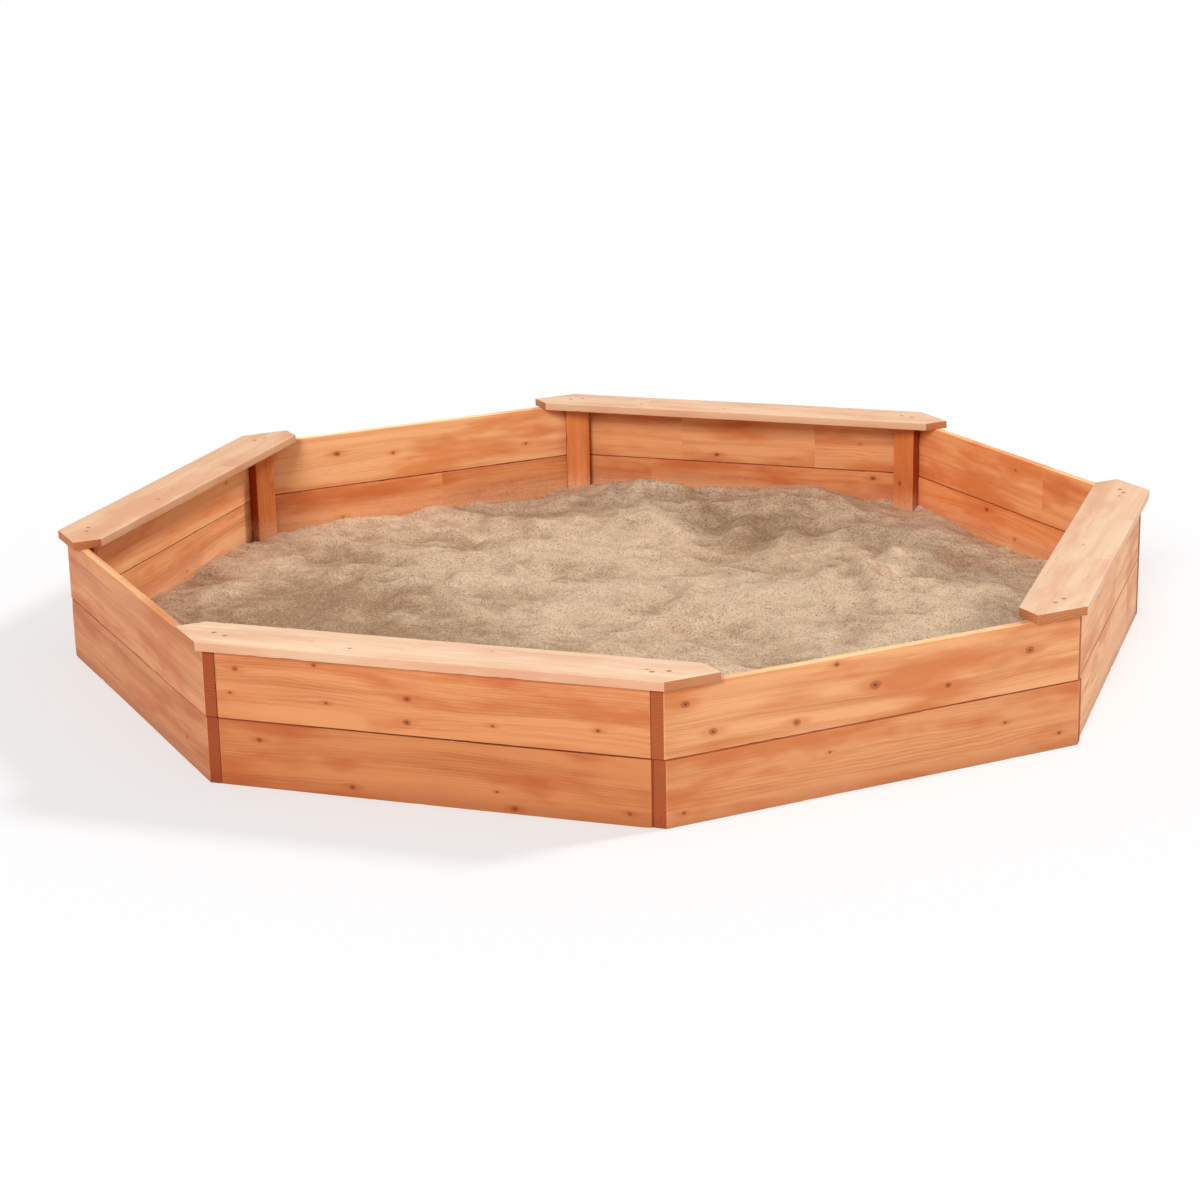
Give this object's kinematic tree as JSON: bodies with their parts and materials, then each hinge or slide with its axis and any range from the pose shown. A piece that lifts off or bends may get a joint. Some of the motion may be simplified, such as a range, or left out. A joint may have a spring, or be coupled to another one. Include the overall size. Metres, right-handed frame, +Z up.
{
  "type": "octagonal wooden sandbox",
  "caption": "Low eight-sided wooden sandbox with stacked-board walls, pointed corner-to-corner seats, inner corner posts and a sand fill.",
  "frame": {"origin": "on the ground, under the middle of the octagon", "axes": "+Z up, -Y towards the front seat, +X towards the right seat"},
  "size_m": [1.866, 1.866, 0.24],
  "materials": {
    "board_wood": "satin",
    "seat_wood": "satin",
    "post_wood": "satin",
    "screw_steel": "satin",
    "liner_fabric": "matte",
    "sand": "matte"
  },
  "bodies": {
    "root": {"back_left_lower_board": "board_wood", "back_left_upper_board": "board_wood", "back_lower_board": "board_wood", "back_right_lower_board": "board_wood", "back_right_upper_board": "board_wood", "back_seat": "seat_wood", "back_seat_screw_1": "screw_steel", "back_seat_screw_2": "screw_steel", "back_seat_screw_3": "screw_steel", "back_seat_screw_4": "screw_steel", "back_upper_board": "board_wood", "corner_post_back_left_to_left": "post_wood", "corner_post_back_right_to_back": "post_wood", "corner_post_back_to_back_left": "post_wood", "corner_post_front_left_to_front": "post_wood", "corner_post_front_right_to_right": "post_wood", "corner_post_front_to_front_right": "post_wood", "corner_post_left_to_front_left": "post_wood", "corner_post_right_to_back_right": "post_wood", "front_left_lower_board": "board_wood", "front_left_upper_board": "board_wood", "front_lower_board": "board_wood", "front_right_lower_board": "board_wood", "front_right_upper_board": "board_wood", "front_seat": "seat_wood", "front_seat_screw_1": "screw_steel", "front_seat_screw_2": "screw_steel", "front_seat_screw_3": "screw_steel", "front_seat_screw_4": "screw_steel", "front_upper_board": "board_wood", "ground_liner": "liner_fabric", "left_lower_board": "board_wood", "left_seat": "seat_wood", "left_seat_screw_1": "screw_steel", "left_seat_screw_2": "screw_steel", "left_seat_screw_3": "screw_steel", "left_seat_screw_4": "screw_steel", "left_upper_board": "board_wood", "right_lower_board": "board_wood", "right_seat": "seat_wood", "right_seat_screw_1": "screw_steel", "right_seat_screw_2": "screw_steel", "right_seat_screw_3": "screw_steel", "right_seat_screw_4": "screw_steel", "right_upper_board": "board_wood", "sand_fill": "sand"}
  },
  "joints": []
}
